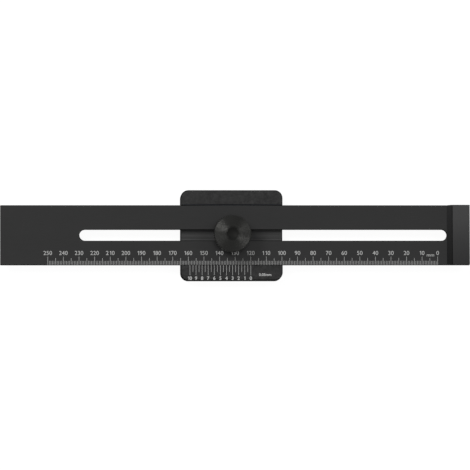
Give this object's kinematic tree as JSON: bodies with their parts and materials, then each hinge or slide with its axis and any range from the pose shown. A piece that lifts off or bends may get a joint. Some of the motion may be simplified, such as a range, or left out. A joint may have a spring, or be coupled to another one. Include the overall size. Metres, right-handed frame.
{
  "type": "marking ruler with sliding stop",
  "caption": "Flat slotted marking ruler with a scribing head at its zero end and a vernier slider clamped by a knurled thumb screw.",
  "frame": {"origin": "on the plane of the slider's back face, under the middle of the whole ruler", "axes": "+X along the beam towards the scribing end, +Y towards the beam's plain edge, +Z out of the graduated face"},
  "size_m": [0.301, 0.0578, 0.0286],
  "materials": {
    "satin_dark_steel": "dark satin, even, fine grain along the bar",
    "ground_hard_steel": "hardened, ground, slightly brighter than the bar",
    "blasted_dark_steel": "dark, finely blasted",
    "spring_steel": "blued strip",
    "black_screw_steel": "black oxide",
    "turned_dark_steel": "turned, dark, glossy",
    "scale_fill": "light grey fill of the graduation and its numbers"
  },
  "bodies": {
    "beam": {"beam": "satin_dark_steel", "scribing_head": "ground_hard_steel", "head_screws": "black_screw_steel", "head_pins": "ground_hard_steel"},
    "slider": {"slider_body": "blasted_dark_steel", "gib_spring": "spring_steel"},
    "washer": {"clamp_washer": "turned_dark_steel"},
    "clamp_screw": {"clamp_screw": "turned_dark_steel"}
  },
  "joints": [
    {"name": "slider_slide", "type": "slide", "parent": "beam", "child": "slider", "axis": [1, 0, 0], "range_m": [-0.0944, 0.129]},
    {"name": "clamp_lift", "type": "slide", "parent": "slider", "child": "washer", "axis": [0, 0, 1], "range_m": [0, 0.003]},
    {"name": "clamp_turn", "type": "hinge", "parent": "washer", "child": "clamp_screw", "pos_m": [-0.0022, 0, 0.0136], "axis": [0, 0, 1], "range_deg": [0, 1081]}
  ],
  "couplings": [
    {"joint": "clamp_turn", "follows": "clamp_lift", "rad_per_m": 6283.2}
  ]
}
